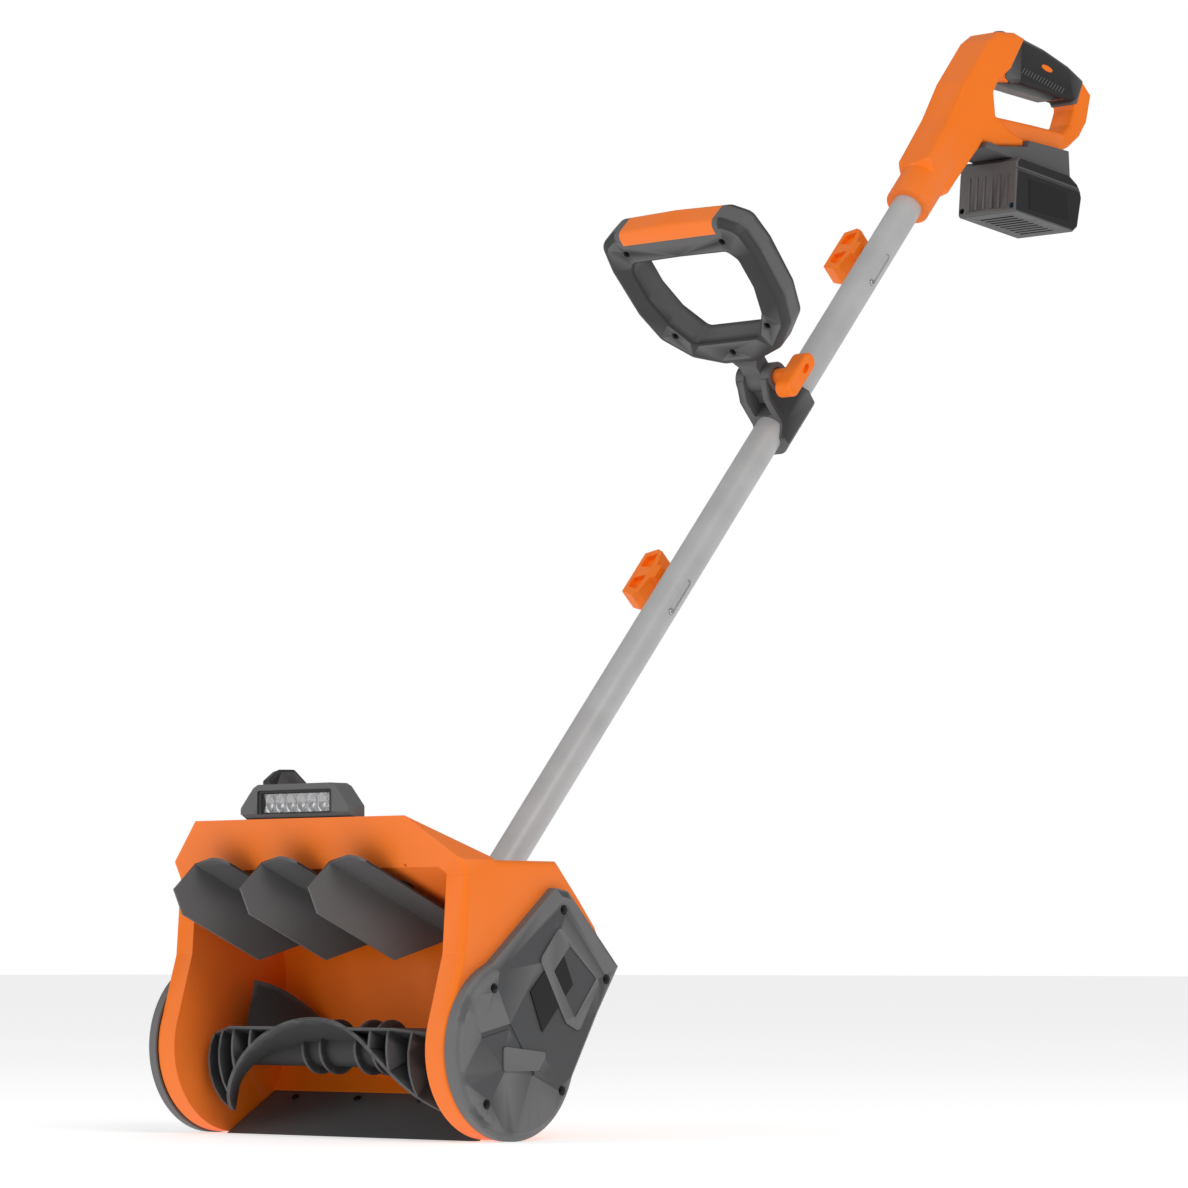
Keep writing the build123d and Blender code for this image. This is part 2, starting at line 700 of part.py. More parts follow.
def wing_knob():
    """A winged hand knob standing on local Z = 0: a hub that spreads into a bar."""
    half = [(8, 1.5), (9, 8), (28, 12), (32, 19), (27, 34)]
    face = rounded(half + [(-a, b) for a, b in reversed(half)], 1.4)
    across = Plane(origin=(0, KNOB_HALF_WIDTH, 0), x_dir=(1, 0, 0), z_dir=(0, -1, 0))
    wings = extrude(across * face, amount=2 * KNOB_HALF_WIDTH)
    wings = fillet(wings.faces().filter_by(Axis.Y).edges(), 1.2)
    for side in (-1, 1):
        dish = rounded([(side * 5, 14), (side * 25, 16), (side * 21, 28), (side * 8, 29)], 1)
        for y in (KNOB_HALF_WIDTH, 5 - KNOB_HALF_WIDTH):
            wings -= extrude(Plane(origin=(0, y, 0), x_dir=(1, 0, 0), z_dir=(0, -1, 0)) * dish, amount=5)
    return wings + Cylinder(8.5, 12, align=BASE)


def clamp_place(rim):
    """Standing off the shaft's left side at a clamp screw, local X up the shaft."""
    point = shaft_point(rim - KNOB_BELOW_RIM)
    return Plane(origin=(-TUBE_R, point.Y, point.Z), x_dir=SHAFT_DIR, z_dir=(-1, 0, 0))


def clamp_knob(rim):
    """The hand knob with its moulded-in stud, which reaches through to the spigot's wall."""
    stud = Pos(0, 0, SPIGOT_R - TUBE_R + 0.1) * Cylinder(3.0, 24, align=BASE)
    return clamp_place(rim) * (Pos(0, 0, 3.5) * wing_knob() + stud)


# Auxiliary handle ------------------------------------------------------------

def shaft_side_prism(face, x_low, x_high):
    """An outline in (up the shaft, in front of it) made solid between two X planes."""
    return extrude(shaft_side(0, x_low) * face, amount=x_high - x_low)


def bracket_block():
    """The clamp round the middle tube with two cheeks that carry the handle's pivot."""
    side = rounded([(923, -25), (988, -25), (991, 0), (984, 16), (983, 40), (966, 58), (949, 54), (938, 36),
                    (936, 6), (923, -2)], 3)
    body = shaft_side_prism(side, -21, 21)
    body = fillet(body.faces().filter_by(Axis.X).edges(), 2.5)
    body &= shaft_rod(24.5, 900, 1010) + shaft_side_prism(outline((900, 0), (1010, 0), (1010, 90), (900, 90)), -30, 30)
    pivot = shaft_point(PIVOT_S, PIVOT_N)
    body += x_rod(pivot.Y, pivot.Z, 15.5, -21.5, 21.5)
    body -= shaft_side_prism(outline((890, 17.2), (1010, 17.2), (1010, 90), (890, 90)), -11, 11)
    body -= shaft_rod(TUBE_R + FIT, 880, 1020)
    body -= x_rod(pivot.Y, pivot.Z, 4.0, -40, 40)
    body -= x_rod(pivot.Y, pivot.Z, 10, 19, 30) + x_rod(pivot.Y, pivot.Z, 10, -30, -19)
    for s, n in bracket_screw_places():
        spot = shaft_point(s, n)
        body -= x_rod(spot.Y, spot.Z, 1.4, -12, 40) + x_rod(spot.Y, spot.Z, 2.6, 11.5, 40)
    return body


def bracket_screw_places():
    return [(932, -18.6), (955, -18.6), (980, -18.6)]


def bracket_half(side):
    return bracket_block() & box_between((min(0, 60 * side), 0, 0), (max(0, 60 * side), 1200, 1400))


def bracket_screws():
    screws = []
    for s, n in bracket_screw_places():
        place = Plane(origin=shaft_point(s, n) + Vector(11.5, 0, 0), x_dir=SHAFT_DIR, z_dir=(1, 0, 0))
        screws.append(place * screw(1.4, 22, 2.5, 1.6))
    return screws


def pivot_bolt():
    spot = shaft_point(PIVOT_S, PIVOT_N)
    head = Plane(origin=(-22.8, spot.Y, spot.Z), x_dir=(0, 1, 0), z_dir=(1, 0, 0)) * RegularPolygon(6.8, 6)
    bolt = extrude(head, amount=3.6) + x_rod(spot.Y, spot.Z, 4.0, -20, 36)
    return bolt + (x_rod(spot.Y, spot.Z, 8.5, 19.2, 20.6) - x_rod(spot.Y, spot.Z, 3.9, 19, 21))


def aux_knob():
    spot = shaft_point(PIVOT_S, PIVOT_N)
    place = Plane(origin=(20.9, spot.Y, spot.Z), x_dir=SHAFT_DIR, z_dir=(1, 0, 0))
    hub = Cylinder(8.5, 16, align=BASE)
    bar = extrude(Plane.XY.offset(13) * SlotOverall(56, 19), amount=19)
    bar = fillet(bar.edges(), 3)
    eye = extrude(Plane.XY.offset(28) * Pos(9, 0) * SlotOverall(12, 6), amount=8)
    return place * (hub + bar - eye - Pos(0, 0, -1) * Cylinder(4.0 + FIT, 17, align=BASE))


def loop_plane(depth=0.0):
    """The handle loop's plane: local X right, local Y up the stem, local Z out of the front."""
    up = Vector(*LOOP_TILT)
    front = Vector(0, -up.Z, up.Y)
    return Plane(origin=shaft_point(PIVOT_S, PIVOT_N) + front * depth, x_dir=(1, 0, 0), z_dir=front)


def symmetric(half):
    return half + [(-x, y) for x, y in reversed(half) if x]


def aux_loop():
    outer_half = [(0, 206), (70, 204), (91, 192), (96, 160), (94, 105), (84, 70), (56, 43), (20, 31)]
    inner_half = [(0, 168), (60, 167), (68, 156), (68, 122), (60, 90), (42, 62)]
    solid = Pos(0, 0, -LOOP_HALF_DEPTH) * extrude(rounded(symmetric(outer_half), 14), amount=2 * LOOP_HALF_DEPTH)
    solid = fillet(solid.faces().filter_by(Axis.Z).edges(), 8)
    hole = Pos(0, 0, -LOOP_HALF_DEPTH) * extrude(rounded(symmetric(inner_half), 9), amount=2 * LOOP_HALF_DEPTH)
    loop = solid - hole
    rim = [e for e in loop.edges() if abs(e.center().Z) > LOOP_HALF_DEPTH - 0.1 and inside_loop(e)]
    loop = fillet(rim, 2.5)
    stem_half = [(10.6, -24), (10.6, 21), (20, 36), (22, 46)]
    stem_face = outline(*symmetric(stem_half))
    stem = Pos(0, 0, -9) * extrude(stem_face, amount=18)
    hub = Plane(origin=(-10.6, 0, 0), x_dir=(0, 1, 0), z_dir=(1, 0, 0)) * Cylinder(13, 21.2, align=BASE)
    loop = loop + stem + hub
    bore = Plane(origin=(-15, 0, 0), x_dir=(0, 1, 0), z_dir=(1, 0, 0)) * Cylinder(4.0 + FIT, 30, align=BASE)
    loop -= bore
    for x, y in aux_screw_places():
        loop -= Pos(x, y, LOOP_HALF_DEPTH - 5) * Cylinder(3.6, 20, align=BASE)
        loop -= Pos(x, y, 3 - LOOP_HALF_DEPTH) * Cylinder(1.5, 40, align=BASE)
    return loop


def inside_loop(edge):
    """True for an edge of the finger opening."""
    middle = edge.center()
    return abs(middle.X) < 72 and 58 < middle.Y < 172


def aux_screw_places():
    return [(-62, 180), (62, 180), (-60, 75), (60, 75), (0, 48)]


def aux_insert_zone():
    return box_between((-60, 190, -40), (60, 230, 40))


def aux_half(front):
    half = box_between((-120, -40, 0 if front else -60), (120, 240, 60 if front else 0))
    return loop_plane() * ((aux_loop() & half) - aux_insert_zone())


def aux_insert():
    return loop_plane() * (aux_loop() & aux_insert_zone())


def aux_screws():
    z = LOOP_HALF_DEPTH - 5
    return [loop_plane() * Pos(x, y, z) * screw(1.5, 15, 3.3, 2) for x, y in aux_screw_places()]


# Rear handle -----------------------------------------------------------------

BODY_HALF = 22.0
GRIP_HALF = 16.0
SHELL = 2.5
SOCKET_R = 24.0
FLARE_START = 1318.0
FLARE_LENGTH = 45.0


def body_outline():
    return outline(
        (801.1, 969.3), (843, 1021), (871, 1056), (897, 1097), (940, 1147), (957, 1158), (985, 1161),
        (1004, 1157), (978, 1120), (956, 1104), (946, 1090), (949, 1066), (975, 1052), (1000, 1046),
        (998, 1037), (946, 1031), (926, 1033), (884, 991), (862, 968), (836.9, 937.3))


def loop_outline():
    return outline(
        (930, 1135), (957, 1158), (985, 1161), (1045, 1151), (1090, 1139), (1120, 1126), (1135, 1114),
        (1126, 1082), (1112, 1064), (1092, 1050), (1074, 1042), (999, 1044), (946, 1031), (920, 1040))


def hand_hole():
    return rounded([(946, 1090), (955, 1104), (1000, 1109), (1040, 1107), (1098, 1104), (1104, 1096),
                    (1095, 1076), (1081, 1065), (1027, 1066), (949, 1066)], 5)


def handle_block(inset=0.0):
    """The right half of the handle, from the middle plane out, or the space inside it."""
    body_face = body_outline()
    loop_face = loop_outline() - hand_hole()
    if inset:
        body_face = offset(body_face, -inset, kind=Kind.INTERSECTION)
        loop_face = offset(loop_face, -inset, kind=Kind.INTERSECTION)
    body = yz_prism(body_face, 0, BODY_HALF - inset)
    loop = yz_prism(loop_face, 0, GRIP_HALF - inset)
    if not inset:
        body = fillet(body.faces().sort_by(Axis.X)[-1].edges(), 5)
        loop = fillet(loop.faces().sort_by(Axis.X)[-1].edges(), 5)
    return (body & handle_envelope(inset)) + loop


def handle_envelope(inset):
    """Round where the handle takes the tube, then opening out like a cone above it."""
    radius = SOCKET_R - inset
    collar = shaft_rod(radius, HANDLE_START - 20, FLARE_START)
    flare = shaft_plane(FLARE_START) * Cone(radius, radius + FLARE_LENGTH, FLARE_LENGTH, align=BASE)
    beyond = shaft_plane(FLARE_START + FLARE_LENGTH) * Box(300, 500, 500, align=BASE)
    return collar + flare + beyond


def right_side(shape):
    """The part of a shape on the operator's right of the middle plane."""
    return shape & box_between((0, 600, 700), (80, 1400, 1400))


def handle_half(side):
    block = handle_block() + right_side(shaft_rod(SOCKET_R, HANDLE_START, HANDLE_START + 70))
    half = block - handle_block(SHELL)
    half += right_side(shaft_rod(20, HANDLE_START + 4, HANDLE_START + 66)) & block
    half -= shaft_rod(TUBE_R, HANDLE_START - 5, HANDLE_START + 60)
    half -= shaft_rod(TUBE_R - 2, HANDLE_START - 5, HANDLE_START + 90)
    half -= yz_prism(trigger_outline(1.2), -TRIGGER_HALF - 0.6, TRIGGER_HALF + 0.6)
    half -= Pos(0, BUTTON_Y, 1140) * Cylinder(BUTTON_R + 0.4, 40, align=BASE)
    half += x_rod(*TRIGGER_PIVOT, 4.5, TRIGGER_HALF + 0.6, GRIP_HALF - 1)
    half -= x_rod(*TRIGGER_PIVOT, 2.0 + FIT, TRIGGER_HALF, 13.2)
    for y, z in handle_screw_places():
        half += x_rod(y, z, 4.6, 0, BODY_HALF - 2) & block
        half -= x_rod(y, z, 1.5, -1, 13 if side > 0 else 40)
        if side < 0:
            half -= x_rod(y, z, 3.4, 11, 40)
    return half if side > 0 else mirrored(half)


def handle_screw_places():
    return [(870, 1010), (905, 1075), (960, 1140), (935, 1045), (1110, 1085), (1050, 1054)]


def handle_screws():
    screws = []
    for y, z in handle_screw_places():
        place = Plane(origin=(-11, y, z), x_dir=(0, 1, 0), z_dir=(-1, 0, 0))
        screws.append(place * screw(1.5, 24, 3.1, 2))
    return screws


TRIGGER_HALF = 9.0
TRIGGER_PIVOT = (1086.0, 1112.0)
BUTTON_Y = 984.0
BUTTON_R = 7.0


def trigger_outline(grow=0.0):
    face = outline((966, 1103), (968, 1118), (1020, 1121), (1090, 1117), (1090, 1104), (1066, 1099), (1010, 1101))
    return offset(face, grow, kind=Kind.INTERSECTION) if grow else face


def trigger():
    """The pull lever with the two pivot pins moulded on its rear end."""
    lever = yz_prism(trigger_outline(), -TRIGGER_HALF, TRIGGER_HALF)
    lever = fillet(lever.edges().filter_by(Axis.X), 2)
    return lever + x_rod(*TRIGGER_PIVOT, 2.0, -13, 13)


def trigger_switch():
    return box_between((-7, 985, 1131), (7, 1015, 1145))


def lock_button():
    cap = Pos(0, BUTTON_Y, 1150) * Cylinder(BUTTON_R, 14.2, align=BASE)
    cap = fillet(cap.edges().sort_by(Axis.Z)[-1], 2)
    return cap + Pos(0, BUTTON_Y, 1150) * Cylinder(BUTTON_R + 2, 2, align=BASE)


def grip_zone():
    return outline((993, 1175), (972, 1110), (1066, 1085), (1104, 1100), (1122, 1140), (1050, 1180))


def grip_cover():
    """The soft skin moulded round the grip bar."""
    bar_face = loop_outline() - hand_hole()
    skin = yz_prism(offset(bar_face, 1.2, kind=Kind.INTERSECTION), 0, GRIP_HALF + 1.2)
    skin = fillet(skin.faces().sort_by(Axis.X)[-1].edges(), 5)
    skin = (skin - handle_block()) & yz_prism(grip_zone(), 0, 30)
    skin -= yz_prism(trigger_outline(2.5), -TRIGGER_HALF - 2, TRIGGER_HALF + 2)
    skin -= Pos(0, BUTTON_Y, 1140) * Cylinder(BUTTON_R + 0.4, 40, align=BASE)
    skin = max(skin.solids(), key=lambda piece: piece.volume)
    return skin + mirrored(skin)


# Battery ---------------------------------------------------------------------

def battery_frame():
    """At the pack's lower front edge: local X back along the pack, local Y up, local Z left."""
    tilt = math.radians(BATTERY_TILT)
    return Plane(origin=(0, *BATTERY_FRONT), x_dir=(0, math.cos(tilt), -math.sin(tilt)), z_dir=(1, 0, 0))


def pack_prism(face, half):
    return extrude(battery_frame() * Pos(0, 0, -half) * face, amount=2 * half)


def pack_box(b_low, b_high, u_low, u_high, x_low, x_high):
    place = battery_frame() * Pos((b_low + b_high) / 2, (u_low + u_high) / 2, (x_low + x_high) / 2)
    return place * Box(b_high - b_low, u_high - u_low, x_high - x_low)


CASE_TOP = 48.0
LID_TOP = 61.0
LATCH_FLOOR = 50.0


def battery_case():
    half = BATTERY_W / 2
    face = outline((0, 2), (3, 0), (108, 0), (116, 7), (121, 40), (118, CASE_TOP), (0, CASE_TOP))
    case = pack_prism(face, half)
    case = fillet(case.faces().filter_by(Axis.X).edges(), 2.5)
    case -= pack_box(3, 112, 3, CASE_TOP + 5, -half + 3, half - 3)
    for k in range(9):
        b = 18 + 9 * k
        case -= pack_box(b, b + 4, -1, 4, -22, 22)
    for x in (-24, -14, -4, 6, 16, 26):
        case += pack_box(-1.2, 1, 6, CASE_TOP - 6, x - 1.4, x + 1.4)
    for x in (-33, 33):
        spot = battery_frame() * Pos(0, 7, x) * Rot(0, 90, 0)
        case -= spot * Cylinder(3.2, 8)
    return case


def battery_lid():
    half = BATTERY_W / 2
    face = outline((0, CASE_TOP), (118, CASE_TOP), (112, 54), (96, LID_TOP), (6, LID_TOP), (0, 56))
    lid = pack_prism(face, half)
    lid = fillet(lid.faces().filter_by(Axis.X).edges().filter_by(Axis.X, reverse=True), 2.5)
    tongue = pack_box(12, 88, LID_TOP - 1, 72, -20, 20)
    for side in (-1, 1):
        low, high = sorted((side * 15.5, side * 25))
        tongue -= pack_box(0, 120, LID_TOP, 66, low, high)
    return lid + tongue - pack_box(98, 110, LATCH_FLOOR, 70, -12, 12)


def battery_latch():
    face = outline((98.5, LATCH_FLOOR + 3.5), (109.5, LATCH_FLOOR + 3.5), (109.5, 57.6), (98.5, 62.5))
    return pack_prism(face, 11.7)


def battery_cells():
    cells = []
    for u in (13.5, 33.0):
        for k in range(5):
            b = 15 + 20.5 * k
            cells.append(battery_frame() * Pos(b, u, 0) * Cylinder(9.2, 65))
    return cells


def dock():
    """The black rail block under the handle that the pack slides into."""
    face = outline((912, 1017), (926, 1032.9), (946, 1030.9), (998.1, 1036.9), (1000.2, 1043.9), (1074, 1041.9),
                   (1076, 1010), (960, 1010))
    block = yz_prism(face, -27, 27) - pack_box(-80, 200, -20, LID_TOP + 0.4, -60, 60)
    block -= pack_box(9, 200, LID_TOP - 5, 72.4, -20.4, 20.4)
    for side in (-1, 1):
        low, high = sorted((side * 15.9, side * 20.4))
        block += pack_box(11, 108, LID_TOP + 0.4, 65.6, low, high)
    return block


# Writing ---------------------------------------------------------------------

def write(name, solids):
    """One file per sub-part, moved into the row's frame."""
    items = solids if isinstance(solids, list) else [solids]
    pieces = [piece for item in items for piece in (ROW_SHIFT * item).solids()]
    shape = pieces[0] if len(pieces) == 1 else Compound(children=pieces)
    export_step(shape, os.path.join("parts", name + ".step"))


def head_parts():
    front, rear, deck_cover = head_shells()
    cover = right_cover()
    return {
        "auger_housing": front,
        "rear_cover": tube_socket(rear),
        "deck_cover": deck_cover,
        "deck_screws": [place * screw(1.5, 8, 3, 1.6) for place in deck_screw_places()],
        "right_side_cover": cover,
        "left_side_cover": mirrored(cover),
        "side_cover_screws": cover_screws(),
        "scraper": scraper(),
        "scraper_screws": scraper_screws(),
        "lamp_housing": lamp_housing(),
        "lamp_lens": lamp_lens(),
        "lamp_led_board": lamp_board(),
        "auger_bearings": [bearing(), mirrored(bearing())],
        "motor_can": motor_can(),
        "motor_mount": motor_mount(),
        "drive_belt": drive_belt(),
        "motor_controller": controller_board(),
        "lower_tube": lower_tube(),
        "tube_bolts": tube_bolts(),
    }


def drive_parts():
    return {
        "auger_rotor": auger_rotor(),
        "auger_shaft": auger_shaft(),
        "driven_pulley": driven_pulley(),
        "motor_shaft": motor_shaft(),
        "motor_pulley": motor_pulley(),
    }


def vane_parts():
    parts = {"deflector_link": deflector_link(), "direction_lever": direction_lever(),
             "lever_screw": lever_screw()}
    for number, x in enumerate(vane_places(), start=1):
        parts[f"vane_{number}"] = vane(x)
        parts[f"vane_crank_{number}"] = crank(x)
    return parts


def shaft_parts():
    return {
        "lower_clamp_knob": clamp_knob(LOWER_RIM),
        "middle_tube": middle_tube(),
        "middle_guide_button": slot_button(LOWER_RIM),
        "upper_clamp_knob": clamp_knob(UPPER_RIM),
        "upper_tube": upper_tube(),
        "upper_guide_button": slot_button(UPPER_RIM),
        "bracket_right": bracket_half(1),
        "bracket_left": bracket_half(-1),
        "bracket_screws": bracket_screws(),
        "pivot_bolt": pivot_bolt(),
        "aux_knob": aux_knob(),
        "aux_handle_front": aux_half(True),
        "aux_handle_back": aux_half(False),
        "aux_grip_insert": aux_insert(),
        "aux_handle_screws": aux_screws(),
    }


def handle_parts():
    return {
        "rear_handle_right": handle_half(1),
        "rear_handle_left": handle_half(-1),
        "rear_handle_screws": handle_screws(),
        "grip_overmould": grip_cover(),
        "trigger": trigger(),
        "trigger_switch": trigger_switch(),
        "lock_off_button": lock_button(),
        "battery_dock": dock(),
        "battery_case": battery_case(),
        "battery_lid": battery_lid(),
        "battery_latch": battery_latch(),
        "battery_cells": battery_cells(),
    }


def main():
    os.makedirs("parts", exist_ok=True)
    for group in (head_parts, drive_parts, vane_parts, shaft_parts, handle_parts):
        for name, solids in group().items():
            write(name, solids)


if __name__ == "__main__":
    main()
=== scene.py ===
import math

import bmesh
import bpy
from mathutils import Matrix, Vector


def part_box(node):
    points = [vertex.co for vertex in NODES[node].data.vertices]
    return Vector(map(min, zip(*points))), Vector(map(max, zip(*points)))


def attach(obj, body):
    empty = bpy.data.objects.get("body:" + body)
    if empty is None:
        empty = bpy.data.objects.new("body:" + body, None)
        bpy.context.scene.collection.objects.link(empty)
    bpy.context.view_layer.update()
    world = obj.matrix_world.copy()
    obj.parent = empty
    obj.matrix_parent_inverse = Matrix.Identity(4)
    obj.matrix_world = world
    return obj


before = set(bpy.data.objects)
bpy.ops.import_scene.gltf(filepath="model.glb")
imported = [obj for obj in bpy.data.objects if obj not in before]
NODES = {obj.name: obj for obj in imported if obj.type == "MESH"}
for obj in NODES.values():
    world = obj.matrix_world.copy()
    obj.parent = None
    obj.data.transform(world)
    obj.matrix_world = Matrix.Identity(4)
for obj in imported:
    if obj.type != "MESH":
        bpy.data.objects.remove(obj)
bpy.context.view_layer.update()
MM = 0.001


# Materials -------------------------------------------------------------------

class Shader:
    """A node material built round one Principled shader, in object space."""

    def __init__(self, name, **values):
        self.material = bpy.data.materials.new(name)
        self.material.use_nodes = True
        self.tree = self.material.node_tree
        self.surface = self.tree.nodes["Principled BSDF"]
        self.place = self.tree.nodes.new("ShaderNodeTexCoord").outputs["Object"]
        for socket, value in values.items():
            self.surface.inputs[socket.replace("_", " ")].default_value = value

    def node(self, kind, **settings):
        node = self.tree.nodes.new("ShaderNode" + kind)
        for key, value in settings.items():
            if key in node.inputs:
                node.inputs[key].default_value = value
            else:
                setattr(node, key, value)
        return node

    def link(self, start, end):
        self.tree.links.new(start, end)

    def noise(self, scale, detail=2.0, rough=0.5):
        node = self.node("TexNoise", Scale=scale, Detail=detail, Roughness=rough)
        self.link(self.place, node.inputs["Vector"])
        return node.outputs["Fac"]

    def remap(self, value, low, high, new_low, new_high):
        node = self.node("MapRange")
        node.inputs["From Min"].default_value = low
        node.inputs["From Max"].default_value = high
        node.inputs["To Min"].default_value = new_low
        node.inputs["To Max"].default_value = new_high
        self.link(value, node.inputs["Value"])
        return node.outputs["Result"]

    def blend(self, fac, a, b):
        """Colour a where fac is 0 and b where it is 1; each is a colour or a socket."""
        node = self.node("Mix", data_type="RGBA")
        self.link(fac, node.inputs["Factor"])
        for socket, colour in ((node.inputs[6], a), (node.inputs[7], b)):
            if isinstance(colour, tuple):
                socket.default_value = (*colour, 1.0)
            else:
                self.link(colour, socket)
        return node.outputs[2]

    def bump(self, height, distance, strength=1.0, below=None):
        node = self.node("Bump", Distance=distance, Strength=strength)
        self.link(height, node.inputs["Height"])
        if below is not None:
            self.link(below, node.inputs["Normal"])
        self.link(node.outputs["Normal"], self.surface.inputs["Normal"])
        return node.outputs["Normal"]

    def edges(self, low=0.51, high=0.56):
        """1 on sharp convex edges, 0 elsewhere."""
        return self.remap(self.node("NewGeometry").outputs["Pointiness"], low, high, 0.0, 1.0)


def moulded(name, colour, rough, grain=900.0, depth=0.00004, spread=0.06, edge_highlight=0.12):
    """Injection moulded plastic: fine grain, slow tint drift, sharp edges painted paler as a painted edge
    highlight.
    """
    made = Shader(name, Roughness=rough, Specular_IOR_Level=0.3)
    drift = made.remap(made.noise(7.0, 3.0), 0.3, 0.7, 0.0, 1.0)
    dark = tuple(c * (1 - spread) for c in colour)
    light = tuple(min(1.0, c * (1 + spread)) for c in colour)
    body = made.blend(drift, dark, light)
    # Painted highlight: sharp convex edges are blended towards pale grey, standing in for the light caught by
    # rounded edges
    edge_highlight_colour = tuple(c + (0.75 - c) * edge_highlight for c in colour)
    made.link(made.blend(made.edges(), body, edge_highlight_colour), made.surface.inputs["Base Color"])
    made.link(made.remap(made.noise(60.0, 4.0), 0.2, 0.8, rough - 0.06, rough + 0.07),
              made.surface.inputs["Roughness"])
    made.bump(made.noise(grain, 2.0), depth)
    return made.material


def metal(name, colour, rough, scale=260.0, depth=0.00001, metallic=1.0):
    made = Shader(name, Metallic=metallic, Roughness=rough)
    drift = made.remap(made.noise(22.0, 4.0), 0.3, 0.7, 0.0, 1.0)
    made.link(made.blend(drift, tuple(c * 0.86 for c in colour), colour), made.surface.inputs["Base Color"])
    made.link(made.remap(made.noise(scale, 3.0), 0.2, 0.8, rough - 0.08, rough + 0.1),
              made.surface.inputs["Roughness"])
    made.bump(made.noise(scale, 3.0), depth)
    return made.material


def paint_nodes(material, names):
    for name in names.split():
        slots = NODES[name].data.materials
        slots.clear()
        slots.append(material)


ORANGE = moulded("orange_plastic", (0.95, 0.19, 0.004), 0.48, 1400.0, 0.00002, 0.04, 0.03)
GREY = moulded("grey_plastic", (0.066, 0.067, 0.07), 0.5, 1100.0, 0.00005)
DARK_GREY = moulded("dark_grey_plastic", (0.03, 0.03, 0.032), 0.5, 1100.0, 0.00005)
BLACK = moulded("black_plastic", (0.013, 0.013, 0.015), 0.44, 1200.0, 0.00004)
GLOSS = moulded("blank_plate", (0.008, 0.008, 0.009), 0.22, 1600.0, 0.00001, 0.04, 0.0)
RUBBER = moulded("auger_rubber", (0.045, 0.046, 0.048), 0.58, 500.0, 0.00006, 0.1, 0.08)
GRIP = moulded("soft_grip", (0.02, 0.02, 0.022), 0.7, 700.0, 0.00009)
PAINT = metal("grey_tube_paint", (0.5, 0.5, 0.5), 0.34, 500.0, 0.000001, 0.1)
STEEL = metal("zinc_steel", (0.5, 0.5, 0.52), 0.3)
DARK_STEEL = metal("black_screws", (0.03, 0.03, 0.032), 0.38)
CELLS = metal("cell_sleeves", (0.05, 0.2, 0.45), 0.4, metallic=0.0)
BOARD = moulded("circuit_board", (0.75, 0.74, 0.68), 0.5, 300.0, 0.0001)
BELT = moulded("belt_rubber", (0.015, 0.015, 0.016), 0.75, 800.0, 0.0001)
LENS = Shader("clear_lens", Roughness=0.05, IOR=1.5, Transmission_Weight=1.0).material

paint_nodes(ORANGE, "auger_housing rear_cover deck_cover lower_clamp_knob upper_clamp_knob "
                    "rear_handle_right rear_handle_left aux_knob aux_grip_insert")
paint_nodes(GREY, "right_side_cover left_side_cover")
paint_nodes(DARK_GREY, "lamp_housing vane_1 vane_2 vane_3 aux_handle_front aux_handle_back bracket_right "
                       "bracket_left trigger lock_off_button")
paint_nodes(BLACK, "scraper direction_lever vane_crank_1 vane_crank_2 vane_crank_3 deflector_link "
                   "battery_dock battery_case battery_lid battery_latch driven_pulley motor_pulley "
                   "trigger_switch")
paint_nodes(GRIP, "grip_overmould")
paint_nodes(RUBBER, "auger_rotor")
paint_nodes(PAINT, "lower_tube middle_tube upper_tube")
paint_nodes(STEEL, "auger_bearings motor_can motor_mount auger_shaft motor_shaft middle_guide_button "
                   "upper_guide_button pivot_bolt tube_bolts")
paint_nodes(DARK_STEEL, "deck_screws side_cover_screws scraper_screws rear_handle_screws bracket_screws "
                        "aux_handle_screws lever_screw")
paint_nodes(BELT, "drive_belt")
paint_nodes(LENS, "lamp_lens")
paint_nodes(BOARD, "lamp_led_board motor_controller")
paint_nodes(CELLS, "battery_cells")


# Detail pieces ---------------------------------------------------------------

MIDDLE_TO_SIDE = (("right", 1), ("left", -1))

# Places are in millimetres from the low (Y, Z) corner of the node that the piece lies on
PLATE_CORNERS = [(94, 131.98), (135, 171.98), (151, 137.98), (110, 95.98)]
PLATE_SINK = 0.7
OVAL_PLACE = (76.0, 32.37)
OVAL_HALF = (10, 3.2)
OVAL_TILT = -9
RIB_COUNT = 15
RIB_START = (28.0, 20.37)
RIB_PITCH = 5.2
RIB_FALL = 0.16
RIB_WIDTH = 1.8
RIB_LEAN = 6.0
RIB_HEIGHT = 6.5
PANEL_CORNERS = [(26.64, 14.98), (26.64, 47.98), (94.64, 41.98), (99.64, 10.98)]

# The lamp's tray, in metres
LED_PITCH = 0.0132
TRAY_INSET = 0.0012
TRAY_GAP = 0.0012
DISH_DEPTH = 0.0034
DISH_SQUASH = 0.8
TRAY_COLUMNS = 97
TRAY_ROWS = 17


def finish_piece(name, mesh, material, body):
    mesh.materials.append(material)
    made = bpy.data.objects.new(name, mesh)
    bpy.context.scene.collection.objects.link(made)
    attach(made, body)
    return made


